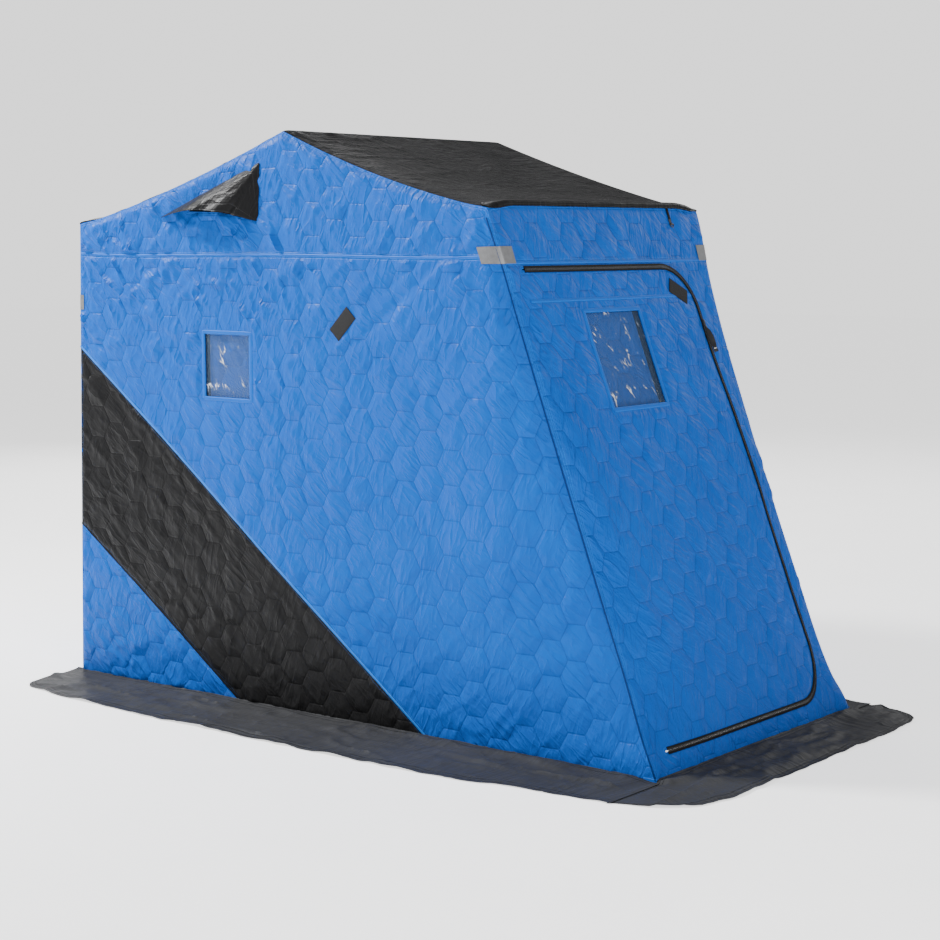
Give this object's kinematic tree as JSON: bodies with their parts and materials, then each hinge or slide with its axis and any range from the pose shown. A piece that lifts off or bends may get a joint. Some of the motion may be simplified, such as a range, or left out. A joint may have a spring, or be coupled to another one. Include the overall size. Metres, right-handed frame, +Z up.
{
  "type": "portable ice fishing hut",
  "caption": "Portable quilted-fabric ice fishing hut on tube bows, with a sloping zipped door wall, gabled black roof, vents, vinyl windows and a ground skirt.",
  "frame": {"origin": "centre of the footprint, skirts included, on the ice", "axes": "+X out of the door wall, +Y towards the far side wall, +Z up"},
  "size_m": [2.637, 1.8, 1.835],
  "materials": {
    "blue_fabric": "quilted satin polyester",
    "black_fabric": "quilted satin polyester",
    "roof_fabric": "crinkled coated polyester",
    "skirt_fabric": "satin coated polyester",
    "clear_vinyl": "flexible clear vinyl",
    "webbing": "woven",
    "hook_and_loop": "matt hooks",
    "reflective_tape": "retroreflective",
    "screen_mesh": "open weave",
    "galvanised_tube": "galvanised",
    "moulded_nylon": "moulded"
  },
  "bodies": {
    "shelter": {"near_gable_panel": "blue_fabric", "near_main_panel": "blue_fabric", "near_band_panel": "black_fabric", "near_corner_panel": "blue_fabric", "far_gable_panel": "blue_fabric", "far_main_panel": "blue_fabric", "far_band_panel": "black_fabric", "far_corner_panel": "blue_fabric", "rear_wall": "blue_fabric", "rear_roof_slope": "roof_fabric", "front_roof_slope": "roof_fabric", "front_eave_band": "roof_fabric", "rear_eave_band": "roof_fabric", "door_header": "blue_fabric", "door_sill": "blue_fabric", "door_hinge_strip": "blue_fabric", "door_latch_panel": "blue_fabric", "frame_zip_tape": "webbing", "side_window_panes": "clear_vinyl", "side_window_blinds": "blue_fabric", "near_vent_hood": "roof_fabric", "far_vent_hood": "roof_fabric", "vent_screens": "screen_mesh", "near_skirt": "skirt_fabric", "far_skirt": "skirt_fabric", "end_skirt": "skirt_fabric", "corner_reflectors": "reflective_tape", "side_patches": "hook_and_loop", "eave_loop": "webbing", "ground_rails": "galvanised_tube", "ground_bars": "galvanised_tube", "rear_legs": "galvanised_tube", "front_legs": "galvanised_tube", "ridge_legs": "galvanised_tube", "roof_bars": "galvanised_tube", "bow_elbows": "moulded_nylon", "ground_fittings": "moulded_nylon"},
    "door": {"door_flap": "blue_fabric", "door_window_pane": "clear_vinyl", "door_window_blind": "blue_fabric", "door_patch": "hook_and_loop", "door_zip_tape": "webbing", "zip_slider": "moulded_nylon", "zip_pull": "webbing"},
    "hanging_ring": {"eave_ring": "moulded_nylon"}
  },
  "joints": [
    {"name": "door_hinge", "type": "hinge", "parent": "shelter", "child": "door", "pos_m": [1.0865, -0.475, 0], "axis": [0.3531, 0, -0.9356], "range_deg": [0, 120]},
    {"name": "ring_swing", "type": "hinge", "parent": "shelter", "child": "hanging_ring", "pos_m": [0.50644, 0.382, 1.54622], "axis": [0, -1, 0], "range_deg": [0, 150]}
  ]
}
